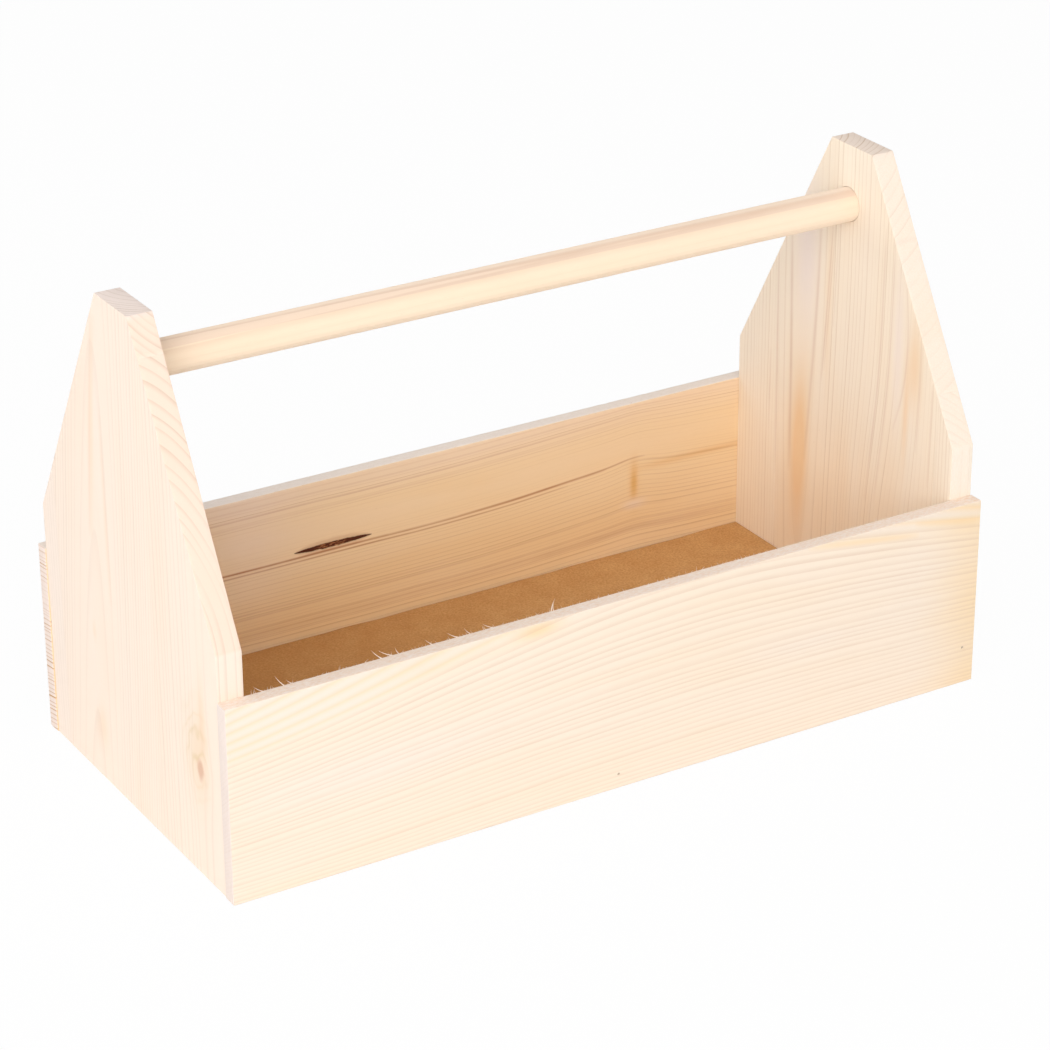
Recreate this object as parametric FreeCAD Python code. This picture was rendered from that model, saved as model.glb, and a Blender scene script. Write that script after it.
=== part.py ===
import FreeCAD, Part
import os

# Open wooden tool tote.  Two house-shaped end panels, each glued up edge to edge from
# staves, carry a round handle rod in blind holes near their peaks.  A front and a back
# board run the full length over the panels' edges and are held with brads, and a thick
# fibreboard base fills the floor between them.
#
# Millimetres.  X runs along the tote, Y from the front to the back, Z up.  The origin is
# the middle of the footprint, on the surface that the tote stands on.

# ---- end panels ---------------------------------------------------------------------
case_length = 520.0                 # over the outer faces of the two end panels
panel_width = 231.0                 # front edge to back edge
panel_thickness = 16.0
panel_height = 322.0
peak_width = 42.0                   # the flat at the top of a panel
peak_shift = -1.3                   # the flat sits this far off the panel's centre line
back_shoulder_height = 155.0        # where the sloping back edge starts, on both panels
left_front_shoulder_height = 153.0
right_front_shoulder_height = 159.0
left_front_stave_width = 81.5
left_back_stave_width = 19.5
right_front_stave_width = 17.5
right_back_stave_width = 45.0

# ---- front and back boards ------------------------------------------------------------
board_height = 125.0
board_thickness = 10.0
board_overhang = 0.8                # past the outer face of each end panel

# ---- base -------------------------------------------------------------------------------
base_thickness = 18.0
base_rise = 0.5                     # keeps the base off the surface the tote stands on
base_end_clearance = 0.3            # to each end panel
base_side_clearance = 0.2           # to each long board

# ---- handle rod -------------------------------------------------------------------------
rod_diameter = 22.0
rod_height = 283.5                  # rod centre above the ground
rod_hole_depth = 10.0               # blind, from the inner face of each end panel
rod_clearance = 0.3                 # all round the rod in its holes
rod_end_gap = 0.2                   # rod end to the bottom of its hole
rod_end_chamfer = 0.8

# ---- brads --------------------------------------------------------------------------------
brad_length = 30.0
brad_shank_diameter = 1.2
brad_head_diameter = 1.8
brad_head_thickness = 0.8
brad_point_length = 1.8
brad_set = 0.4                      # head below the face of the board
brad_clearance = 0.02               # all round a brad in the wood
left_bottom_brad_height = 34.0
right_bottom_brad_height = 25.0
top_brad_inset = 22.0               # top brad below the upper edge of its board
brads_per_joint = 3
base_brad_offset = -4.0             # base brad from the middle of the board's length

# ---- finish -------------------------------------------------------------------------------
edge_break = 0.4                    # chamfer on the sawn arrises

# ---- worked out from the values above -------------------------------------------------------
panel_outer_x = case_length / 2
panel_inner_x = panel_outer_x - panel_thickness
panel_middle_x = panel_outer_x - panel_thickness / 2
panel_edge_y = panel_width / 2
board_face_y = panel_edge_y + board_thickness
board_half_length = panel_outer_x + board_overhang
base_middle_z = base_rise + base_thickness / 2
top_brad_height = board_height - top_brad_inset
cut_margin = 1.0                    # how far a cutting tool runs past the face it enters

LEFT, RIGHT = -1, 1
FRONT, BACK = -1, 1


def block(x_low, x_high, y_low, y_high, z_low, z_high):
    """An upright block between two corners."""
    corner = FreeCAD.Vector(x_low, y_low, z_low)
    return Part.makeBox(x_high - x_low, y_high - y_low, z_high - z_low, corner)


def break_edges(solid):
    """The solid with a small chamfer along every edge."""
    return solid.makeChamfer(edge_break, solid.Edges)


def brad(grow=0.0, run_out=0.0):
    """A brad driven along +Y from the origin, its head's top face at y = 0.

    grow enlarges it all round, and run_out lengthens its head outwards: with both it is
    the hole that the brad makes.
    """
    along = FreeCAD.Vector(0, 1, 0)
    head_start = FreeCAD.Vector(0, -run_out, 0)
    head = Part.makeCylinder(brad_head_diameter / 2 + grow, brad_head_thickness + run_out,
                             head_start, along)
    shank_radius = brad_shank_diameter / 2 + grow
    point_start = brad_length - brad_point_length
    shank = Part.makeCylinder(shank_radius, point_start, FreeCAD.Vector(0, 0, 0), along)
    point = Part.makeCone(shank_radius, shank_radius * 0.2, brad_point_length + grow,
                          FreeCAD.Vector(0, point_start, 0), along)
    return head.fuse(shank).fuse(point).removeSplitter()


def drive(nail, x, z, side):
    """Put a nail into the front (side -1) or back (side 1) face of the tote at x, z."""
    placed = nail.copy()
    if side == BACK:
        placed.rotate(FreeCAD.Vector(0, 0, 0), FreeCAD.Vector(0, 0, 1), 180)
    placed.translate(FreeCAD.Vector(x, side * (board_face_y - brad_set), z))
    return placed


def joint_brad_places(end):
    """The x, z of each brad that holds a board to the end panel on that end."""
    bottom = left_bottom_brad_height if end == LEFT else right_bottom_brad_height
    step = (top_brad_height - bottom) / (brads_per_joint - 1)
    return [(end * panel_middle_x, bottom + step * number) for number in range(brads_per_joint)]


def base_brad_places():
    """The x, z of the brad that holds a board to the edge of the base."""
    return [(base_brad_offset, base_middle_z)]


def drive_all(nail, places, side):
    """Copies of a nail at every place on one side of the tote."""
    return [drive(nail, x, z, side) for x, z in places]


def brad_holes(places, side):
    """The holes for the brads at every place on one side of the tote."""
    hole = brad(grow=brad_clearance, run_out=brad_set + cut_margin)
    return drive_all(hole, places, side)


def end_panel(end):
    """One whole end panel with its arrises broken, before it is parted into staves."""
    front_shoulder = left_front_shoulder_height if end == LEFT else right_front_shoulder_height
    outline = [
        (-panel_edge_y, 0.0),
        (-panel_edge_y, front_shoulder),
        (peak_shift - peak_width / 2, panel_height),
        (peak_shift + peak_width / 2, panel_height),
        (panel_edge_y, back_shoulder_height),
        (panel_edge_y, 0.0),
    ]
    start_x = -panel_outer_x if end == LEFT else panel_inner_x
    points = [FreeCAD.Vector(start_x, y, z) for y, z in outline]
    face = Part.Face(Part.makePolygon(points + points[:1]))
    return break_edges(face.extrude(FreeCAD.Vector(panel_thickness, 0, 0)))


def rod_hole(end):
    """The blind hole in one end panel that the handle rod stands in."""
    mouth = panel_inner_x - cut_margin
    length = rod_hole_depth + cut_margin
    return Part.makeCylinder(rod_diameter / 2 + rod_clearance, length,
                             FreeCAD.Vector(end * mouth, 0, rod_height),
                             FreeCAD.Vector(end, 0, 0))


def panel_staves(end):
    """The front, middle and back staves of one end panel, parted at its glue lines."""
    panel = end_panel(end).cut(rod_hole(end))
    for side in (FRONT, BACK):
        panel = panel.cut(brad_holes(joint_brad_places(end), side))
    front_width = left_front_stave_width if end == LEFT else right_front_stave_width
    back_width = left_back_stave_width if end == LEFT else right_back_stave_width
    front_glue_line = -panel_edge_y + front_width
    back_glue_line = panel_edge_y - back_width
    strips = {
        "front_stave": (-panel_edge_y - cut_margin, front_glue_line),
        "middle_stave": (front_glue_line, back_glue_line),
        "back_stave": (back_glue_line, panel_edge_y + cut_margin),
    }
    reach = panel_outer_x + cut_margin
    staves = {}
    for name, (y_low, y_high) in strips.items():
        strip = block(-reach, reach, y_low, y_high, -cut_margin, panel_height + cut_margin)
        staves[name] = panel.common(strip)
    return staves


def long_board(side):
    """The front or back board, with the holes its brads are driven through."""
    outer = side * board_face_y
    inner = side * panel_edge_y
    board = block(-board_half_length, board_half_length, min(outer, inner), max(outer, inner),
                  0, board_height)
    places = joint_brad_places(LEFT) + joint_brad_places(RIGHT) + base_brad_places()
    return break_edges(board).cut(brad_holes(places, side))


def base_panel():
    """The fibreboard floor between the end panels and the long boards."""
    half_length = panel_inner_x - base_end_clearance
    half_width = panel_edge_y - base_side_clearance
    base = block(-half_length, half_length, -half_width, half_width,
                 base_rise, base_rise + base_thickness)
    for side in (FRONT, BACK):
        base = base.cut(brad_holes(base_brad_places(), side))
    return base


def handle_rod():
    """The round rod, its chamfered ends inside the blind holes of both end panels."""
    half_length = panel_inner_x + rod_hole_depth - rod_end_gap
    rod = Part.makeCylinder(rod_diameter / 2, 2 * half_length,
                            FreeCAD.Vector(-half_length, 0, rod_height),
                            FreeCAD.Vector(1, 0, 0))
    rims = [edge for edge in rod.Edges if edge.Closed and edge.BoundBox.XLength < 0.001]
    return rod.makeChamfer(rod_end_chamfer, rims)


def brad_groups():
    """Every brad, grouped by the joint that it holds."""
    nail = brad()
    ends = {"left": LEFT, "right": RIGHT}
    sides = {"front": FRONT, "back": BACK}
    groups = {}
    for side_name, side in sides.items():
        for end_name, end in ends.items():
            group = drive_all(nail, joint_brad_places(end), side)
            groups[f"{side_name}_{end_name}_brads"] = Part.makeCompound(group)
    base_brads = [drive(nail, x, z, side) for side in (FRONT, BACK)
                  for x, z in base_brad_places()]
    groups["base_brads"] = Part.makeCompound(base_brads)
    return groups


def nodes():
    """Every separate piece of the tote, by name."""
    pieces = {
        "front_board": long_board(FRONT),
        "back_board": long_board(BACK),
        "base_panel": base_panel(),
        "handle_rod": handle_rod(),
    }
    for end_name, end in (("left", LEFT), ("right", RIGHT)):
        for stave_name, stave in panel_staves(end).items():
            pieces[f"{end_name}_panel_{stave_name}"] = stave
    pieces.update(brad_groups())
    return pieces


os.makedirs("parts", exist_ok=True)
for node_name, shape in nodes().items():
    shape.exportStep(f"parts/{node_name}.step")
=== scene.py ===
"""Looks of a raw pine tool tote: growth rings, sawn arrises, splinters and a fibreboard floor.

The scene is in metres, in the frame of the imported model: X along the tote, Y from the front
to the back, Z up.  Wood is described in millimetres, as a joiner measures it, on three axes
of its own: along the grain, across the face of the board, and deep into its thickness.
"""

import logging
import math
from dataclasses import dataclass, field, replace
from enum import Enum
from typing import Callable, Mapping, Sequence, Union

import bmesh
import bpy
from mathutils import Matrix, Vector, noise


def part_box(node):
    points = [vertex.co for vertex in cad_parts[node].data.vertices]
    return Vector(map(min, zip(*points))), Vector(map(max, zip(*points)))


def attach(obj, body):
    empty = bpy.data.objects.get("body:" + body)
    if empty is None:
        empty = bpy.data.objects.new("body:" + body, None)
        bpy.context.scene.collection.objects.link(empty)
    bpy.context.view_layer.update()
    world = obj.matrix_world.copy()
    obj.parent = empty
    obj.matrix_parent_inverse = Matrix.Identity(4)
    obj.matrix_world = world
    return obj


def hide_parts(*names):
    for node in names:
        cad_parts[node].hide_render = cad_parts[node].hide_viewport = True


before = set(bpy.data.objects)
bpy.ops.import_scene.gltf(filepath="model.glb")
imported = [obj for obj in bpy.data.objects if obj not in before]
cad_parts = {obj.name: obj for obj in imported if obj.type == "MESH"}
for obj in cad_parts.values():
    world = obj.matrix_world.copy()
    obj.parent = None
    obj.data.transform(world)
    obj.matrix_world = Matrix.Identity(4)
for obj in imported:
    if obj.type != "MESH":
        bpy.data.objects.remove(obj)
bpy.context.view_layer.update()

MM = 0.001
SAME_PLACE, LEAST_WIDTH, WELD = 0.001, 0.002, 0.004     # in mm
BODY = "root"
Colour = tuple[float, float, float]
Place = tuple[float, float, float]
Sides = tuple[float, float, bool, bool]
Number = Union["Sock", float]
Input = Union["Sock", float, Sequence[float], bpy.types.ID]

log = logging.getLogger("tote")


def srgb(*levels: int) -> Colour:
    """The linear colour of a paint-chart value given as 0 to 255 in each channel."""
    shares = [level / 255 for level in levels]
    return tuple(s / 12.92 if s <= 0.04045 else ((s + 0.055) / 1.055) ** 2.4 for s in shares)


class Grain(Enum):
    """Which way the fibres of a piece run, with its frame axes for along, across and deep."""

    LENGTHWISE = (0, 2, 1)
    UPRIGHT = (2, 1, 0)

    def place(self, along: float, across: float, deep: float) -> Vector:
        """The point in the frame, in metres, of a point given in the wood's axes in mm."""
        point = Vector()
        for axis, value in zip(self.value, (along, across, deep)):
            point[axis] = value * MM
        return point


def node_range(node: str, axis: int) -> tuple[float, float]:
    """The lowest and highest coordinate of a CAD node on one frame axis, in mm."""
    low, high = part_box(node)
    return low[axis] / MM, high[axis] / MM


# ---- node trees ---------------------------------------------------------------------------


def worked(operation: str, turned: bool = False) -> Callable[..., "Sock"]:
    """A method for Sock that does one Math operation.

    Args:
        operation: what is done.
        turned: whether the other value comes first.

    Returns:
        The method, which takes another value if the operation needs two.
    """

    def method(self: "Sock", *other: Number) -> "Sock":
        """One Math node on this, and on the other value if there is one."""
        values = (*other, self) if turned else (self, *other)
        return self.tree.math(operation, *values)

    return method


class Sock:
    """One output of a node tree that ordinary arithmetic can be done on.

    least and most give the smaller and the larger of two values, and part gives what is left
    over the whole number below.
    """

    __add__ = __radd__ = worked("ADD")
    __sub__ = worked("SUBTRACT")
    __rsub__ = worked("SUBTRACT", turned=True)
    __mul__ = __rmul__ = worked("MULTIPLY")
    __truediv__ = worked("DIVIDE")
    __pow__ = worked("POWER")
    __abs__ = worked("ABSOLUTE")
    root, exp, cosine = worked("SQRT"), worked("EXPONENT"), worked("COSINE")
    floor, part = worked("FLOOR"), worked("FRACT")
    least, most = worked("MINIMUM"), worked("MAXIMUM")

    def __init__(self, tree: "Tree", socket: bpy.types.NodeSocket) -> None:
        """Keep the tree and the output that the value comes from."""
        self.tree = tree
        self.socket = socket

    def __neg__(self) -> "Sock":
        """The opposite."""
        return self * -1.0

    def squared(self) -> "Sock":
        """This times itself."""
        return self * self

    def kept(self, high: float = 1.0) -> "Sock":
        """This, kept from 0 to a highest value."""
        return self.most(0.0).least(high)

    def step(self, low: float, high: float) -> "Sock":
        """A soft step.

        Args:
            low: where it leaves 0.
            high: where it reaches 1; below low, the step goes down.

        Returns:
            A value from 0 to 1.
        """
        rising = low < high
        inputs = {"Value": self, "From Min": min(low, high), "From Max": max(low, high),
                  "To Min": 0.0 if rising else 1.0, "To Max": 1.0 if rising else 0.0}
        return self.tree.node("ShaderNodeMapRange", {"interpolation_type": "SMOOTHSTEP"}, inputs)


class Tree:
    """A node tree that is put together in steps."""

    def __init__(self, tree: bpy.types.NodeTree) -> None:
        """Start with an empty tree."""
        self.tree = tree
        self.tree.nodes.clear()

    def node(self, kind: str, settings: Mapping[str, object] | None = None,
             inputs: Mapping[int | str, Input] | None = None, output: int | str = 0) -> Sock:
        """Add one node.

        Args:
            kind: the node's type.
            settings: its options, set before its sockets.
            inputs: values or links for its sockets, by name or number.
            output: the output that is wanted.

        Returns:
            That output.
        """
        made = self.tree.nodes.new(kind)
        for name, value in (settings or {}).items():
            setattr(made, name, value)
        for key, value in (inputs or {}).items():
            if isinstance(value, Sock):
                self.tree.links.new(value.socket, made.inputs[key])
            else:
                made.inputs[key].default_value = value
        return Sock(self, made.outputs[output])

    def math(self, operation: str, *values: Number) -> Sock:
        """A Math node on one or two values."""
        return self.node("ShaderNodeMath", {"operation": operation}, dict(enumerate(values)))

    def vector(self, x: Number, y: Number, z: Number) -> Sock:
        """A vector from three values."""
        return self.node("ShaderNodeCombineXYZ", inputs={0: x, 1: y, 2: z})

    def parts(self, vector: Sock) -> list[Sock]:
        """The X, Y and Z parts of a vector."""
        first = self.node("ShaderNodeSeparateXYZ", inputs={0: vector})
        return [Sock(self, output) for output in first.socket.node.outputs]


class Shader(Tree):
    """The node tree of one finish, or of the room."""

    def __init__(self, owner: bpy.types.Material | bpy.types.World) -> None:
        """Start an empty tree for its owner."""
        owner.use_nodes = True
        super().__init__(owner.node_tree)
        self.owner = owner

    def scaled(self, vector: Sock, scale: float) -> Sock:
        """A vector made so many times as long."""
        return self.node("ShaderNodeVectorMath", {"operation": "SCALE"}, {0: vector, "Scale": scale})

    def place(self) -> Sock:
        """The point on the piece in its own frame, in mm."""
        return self.scaled(self.node("ShaderNodeTexCoord", output="Object"), 1 / MM)

    def axes(self, grain: Grain, vector: Sock) -> list[Sock]:
        """The along, across and deep parts of a vector for that grain."""
        parts = self.parts(vector)
        return [parts[axis] for axis in grain.value]

    def mix(self, share: Number, start: Input, end: Input, blend: str = "MIX") -> Sock:
        """A colour that goes from start to end as share goes from 0 to 1."""
        settings = {"data_type": "RGBA", "blend_type": blend}
        start, end = ((*c, 1.0) if isinstance(c, tuple) else c for c in (start, end))
        return self.node("ShaderNodeMix", settings, {0: share, 6: start, 7: end}, 2)

    def noise(self, place: Sock, detail: float = 2.0, roughness: float = 0.5) -> Sock:
        """Smooth noise about 0, mostly from -0.3 to 0.3, with features of about one unit."""
        inputs = {"Vector": place, "Scale": 1.0, "Detail": detail, "Roughness": roughness}
        return self.node("ShaderNodeTexNoise", inputs=inputs) - 0.5

    def random(self, seed: Sock) -> Sock:
        """An even random value from 0 to 1 for each whole number."""
        return self.node("ShaderNodeTexWhiteNoise", {"noise_dimensions": "1D"}, {"W": seed})

    def surface(self, colour: Sock, roughness: Number, height: Sock, relief: float,
                specular: float = 0.3, fuzzy: float = 0.0,
                metallic: float = 0.0) -> bpy.types.Material:
        """Finish the tree.

        Args:
            colour: the base colour.
            roughness: from 0 to 1.
            height: the fine relief, about 0.
            relief: how high one unit of height stands, in mm.
            specular: the specular level.
            fuzzy: how evenly it shades towards its edges, from 0 to 1.
            metallic: from 0 for wood to 1 for metal.

        Returns:
            The material.
        """
        bump = {"Strength": 1.0, "Distance": relief * MM, "Height": height}
        inputs = {"Base Color": colour, "Roughness": roughness, "Specular IOR Level": specular,
                  "Diffuse Roughness": fuzzy, "Metallic": metallic,
                  "Normal": self.node("ShaderNodeBump", inputs=bump)}
        self.lead(self.node("ShaderNodeBsdfPrincipled", inputs=inputs), "Material")
        return self.owner

    def lead(self, shader: Sock, kind: str) -> None:
        """Lead a shader to the output of its kind of owner."""
        made = self.tree.nodes.new(f"ShaderNodeOutput{kind}")
        self.tree.links.new(shader.socket, made.inputs["Surface"])


# ---- wood -----------------------------------------------------------------------------------


@dataclass(frozen=True)
class Texture:
    """Smooth noise in the wood.

    Attributes:
        along, across, deep: the size of its features on the wood's three axes, in mm.
        detail, roughness: how many finer layers lie in it, and how strong they are.
    """

    along: float
    across: float
    deep: float
    detail: float = 1.0
    roughness: float = 0.5


LINE_WAVER = Texture(90, 26, 26)
KNOT_EDGE = Texture(7, 5, 9, detail=0.5)
KNOT_WARP = Texture(16, 11, 12, detail=0.0)
FIBRE = Texture(9, 0.5, 0.5, detail=3.0, roughness=0.65)
SILK = Texture(60, 2.4, 2.4, detail=2.0, roughness=0.6)
WANDER = Texture(150, 30, 30, detail=2.0)
SPECKS = Texture(3.2, 0.7, 0.7)
BARK_RAGS = Texture(4, 1.1, 1, detail=3.0, roughness=0.65)
PORES = Texture(6, 2.2, 0.6, detail=2.0, roughness=0.7)
SAW_FUZZ = Texture(3.2, 0.5, 0.9, detail=3.0, roughness=0.75)

PATCH_LENGTH, FADE_LENGTH = 45, 30     # of the unevenness along a year's line, in mm
LINE_EDGE = 0.14                       # how sharply a year's line ends, in mm
UNEVEN_YEARS = 3.1                     # how many years grow alike

DARK_YEAR = srgb(170, 90, 28)
# painted shade: multiplied into the upward side of a round piece, which gets less light
TOP_SHADE = (0.93, 0.90, 0.915)
KNOT_SWIRL, KNOT_CORE = srgb(210, 182, 116), srgb(198, 128, 92)
BARK_DARK, BARK_LIGHT, BARK_STAIN = srgb(82, 38, 18), srgb(196, 128, 84), srgb(176, 116, 72)
STREAK_DARK, STREAK_LIGHT = (0.93, 0.92, 0.90), (1.07, 1.08, 1.10)
PORE_DARK, PORE_LIGHT = (0.9, 0.9, 0.9), (1.08, 1.08, 1.08)
TORN_FIBRE = (1.0, 0.91, 0.85)


@dataclass(frozen=True)
class Point:
    """A point in the wood, in mm.

    Attributes:
        tree: the finish that it is shaded by.
        along, across, deep: its place on the wood's three axes.
    """

    tree: Shader
    along: Sock
    across: Sock
    deep: Sock

    def noise(self, texture: Texture) -> Sock:
        """Noise about 0 at the point."""
        place = self.tree.vector(self.along / texture.along, self.across / texture.across,
                                 self.deep / texture.deep)
        return self.tree.noise(place, texture.detail, texture.roughness)


@dataclass(frozen=True)
class Spot:
    """A soft oval place on a board, in mm.

    Attributes:
        along, across: its middle.
        half_length, half_width: how far it reaches along the grain and across the board.
        amount: how strong it is.
    """

    along: float
    across: float
    half_length: float
    half_width: float
    amount: float = 1.0

    def away(self, at: Point) -> Sock:
        """The square of a point's distance from the middle, in half lengths and widths."""
        far = (at.along - self.along) / self.half_length
        aside = (at.across - self.across) / self.half_width
        return far.squared() + aside.squared()

    def weight(self, at: Point) -> Sock:
        """How strongly a point lies in it, from 0 to 1."""
        return (-self.away(at)).exp()


def spotted(value: Sock, spots: Sequence[Spot], at: Point) -> Sock:
    """A value with what each spot adds to it, kept from 0 to 1."""
    for spot in spots:
        value = value + spot.weight(at) * spot.amount
    return value.kept()


@dataclass(frozen=True)
class Vein(Spot):
    """A thin streak that follows the grain, and may lean or bow across it, in mm.

    Attributes:
        lean: how far its top end lies across from its middle.
        bow: how far both ends lie across from its middle.
    """

    lean: float = 0.0
    bow: float = 0.0

    def weight(self, at: Point) -> Sock:
        """How strongly a point lies in it, from 0 to 1."""
        share = (at.along - self.along) / self.half_length
        middle = (share * self.bow + self.lean) * share + self.across
        aside = ((at.across - middle) / self.half_width).squared()
        return (-aside).exp() * (1.0 - share.squared()).most(0.0).root()


@dataclass(frozen=True)
class Knot(Spot):
    """A branch that grew through a board: an oval core in swirling wood, in mm.

    Attributes:
        swirl: how far out the lines bend round it, in half widths.
    """

    swirl: float = 2.6

    def halo(self, at: Point) -> Sock:
        """1 at the middle, falling away over the swirl."""
        return Spot(self.along, self.across, self.half_length * self.swirl * 1.3,
                    self.half_width * self.swirl).weight(at)

    def lobe(self, at: Point) -> Sock:
        """How much the wood swirls brown at a point: most above the knot and to one side."""
        return Spot(self.along + self.half_length * 1.6, self.across + self.half_width,
                    self.half_length * 3.6, self.half_width * 2.6).weight(at)

    def push(self, at: Point) -> Sock:
        """How far the lines are pushed off the knot."""
        return (at.across - self.across) * self.halo(at) * 0.85

    def reach(self, at: Point) -> Sock:
        """The distance from the knot's middle in half widths of its core."""
        return self.away(at).root() + at.noise(KNOT_EDGE) * 0.8

    def stain(self, at: Point, colour: Sock, amber: Colour) -> Sock:
        """The colour with the knot laid over it.

        Args:
            at: the point.
            colour: the wood's colour there.
            amber: the tone of resinous wood.

        Returns:
            The colour.
        """
        mix, reach = at.tree.mix, self.reach(at)
        colour = mix(self.halo(at) * self.amount * 0.3, colour, amber)
        turns = (reach + at.noise(KNOT_WARP) * 2.4) * 0.62
        swirl = ((turns.part() - 0.5).squared() * 4.0).step(0.1, 1.0)
        colour = mix((swirl * 0.3 + 0.16) * self.lobe(at), colour, KNOT_SWIRL)
        ring = ((reach * 9.0).part() - 0.5).squared() * 0.9
        core = reach.step(1.25, 0.35) * (ring + 0.45) * self.amount
        return mix(core.least(1.0), colour, KNOT_CORE)


@dataclass(frozen=True)
class BarkPocket(Spot):
    """A lens of bark that the wood grew round, in mm.  It narrows into the board.

    Attributes:
        face: the depth of the face where it is widest.
        narrowing: what part of its size it loses in each millimetre below that face.
    """

    face: float = 0.0
    narrowing: float = 0.08

    def stain(self, at: Point, colour: Sock) -> Sock:
        """The colour with the bark and the brown wood round it laid over."""
        mix = at.tree.mix
        shrink = (1.0 - abs(abs(at.deep) - self.face) * self.narrowing).most(0.1)
        far = (at.along - self.along) / (shrink * self.half_length)
        lens = (1.0 - far.squared()).most(0.0) ** 0.75
        aside = abs(at.across - self.across) / (lens * self.half_width + 0.05)
        rags = at.noise(BARK_RAGS)
        tips = lens.step(0.0, 0.08)
        inside = (aside + rags * 0.9).step(1.12, 0.72) * tips * self.amount
        middle = far.squared().step(0.3, 0.0) * rags.step(-0.06, 0.12)
        bark = mix(middle * 0.75, BARK_DARK, BARK_LIGHT)
        brown = (aside * 0.42 + rags * 0.5).step(1.3, 0.5) * tips * 0.28
        return mix(inside, mix(brown, colour, BARK_STAIN), bark)


@dataclass(frozen=True)
class Rings:
    """Where a board was sawn from its log, in mm.

    Attributes:
        heart_across, heart_deep: the log's heart, across the board and in depth.
        width: the usual width of a year's ring.
        middle, half_length: the stretch along the grain that the heart drifts over.
        drift_across, drift_deep: how far the heart moves across the board and in depth
            towards the end of the stretch, as a straight part and a bowed part.
        bends: places where the lines swing aside, the amount being the swing.
        phase: what part of a ring the count starts at.
        wobble: how far the lines waver.
        unevenness: how much the rings' widths differ.
        calm, calm_width: the radius and the rings' width of the quickly grown wood round
            the heart.
        late_depth: how deep the dark late wood of each ring is.
    """

    heart_across: float
    heart_deep: float
    width: float
    middle: float = 0.0
    half_length: float = 260.0
    drift_across: tuple[float, float] = (0.0, 0.0)
    drift_deep: tuple[float, float] = (0.0, 0.0)
    bends: tuple[Spot, ...] = ()
    phase: float = 0.0
    wobble: float = 2.0
    unevenness: float = 1.6
    calm: float = 0.0
    calm_width: float = 6.0
    late_depth: float = 1.6

    def drift(self, along: Sock, parts: tuple[float, float]) -> Sock:
        """How far the heart has moved at a point along the grain."""
        share = (along - self.middle) / self.half_length
        return (share * parts[1] + parts[0]) * share

    def straighten(self, at: Point, knots: Sequence[Knot]) -> Point:
        """The point moved to where it would lie across the board if its lines did not bend."""
        aside = at.across
        for bend in self.bends:
            aside = aside - bend.weight(at) * bend.amount
        for knot in knots:
            aside = aside - knot.push(at)
        return replace(at, across=aside + at.noise(LINE_WAVER) * self.wobble)

    def count(self, at: Point) -> tuple[Sock, Sock, Sock]:
        """Count the rings from the heart.

        Args:
            at: the straightened point.

        Returns:
            The number of rings to each point, the ring's width there, and 1 where the wood
            is the quickly grown wood round the heart.
        """
        aside = at.across - self.heart_across - self.drift(at.along, self.drift_across)
        depth = at.deep - self.heart_deep - self.drift(at.along, self.drift_deep)
        radius = (aside.squared() + depth.squared()).root()
        inside = self.calm - radius
        outer = (radius - self.calm).most(0.0) / self.width
        inner = inside.most(0.0) / self.calm_width
        years = at.tree.vector(radius / (self.width * UNEVEN_YEARS), self.phase * 7, 0.0)
        uneven = at.tree.noise(years, 1.0) * self.unevenness * outer.least(1.0)
        width = inside.step(-0.01, 0.01) * (self.calm_width - self.width) + self.width
        return outer - inner + self.phase + uneven, width, inside.step(-2.0, 2.0)


@dataclass(frozen=True)
class Tones:
    """The colours of one board.

    Attributes:
        early, late: the pale spring wood, and the darker line that closes each year.
        amber, cool: resinous or sun-tanned streaks, and dull, greyer wood; cool also serves as
            painted light where it lightens a shaded place.
        end, sawn: freshly sawn end grain, and a ripped edge.
        slant: what the colour is multiplied by where a piece is sawn across at a slant.
    """

    early: Colour
    late: Colour
    amber: Colour
    cool: Colour
    end: Colour
    sawn: Colour
    slant: Colour = (1.0, 1.0, 1.0)


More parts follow.
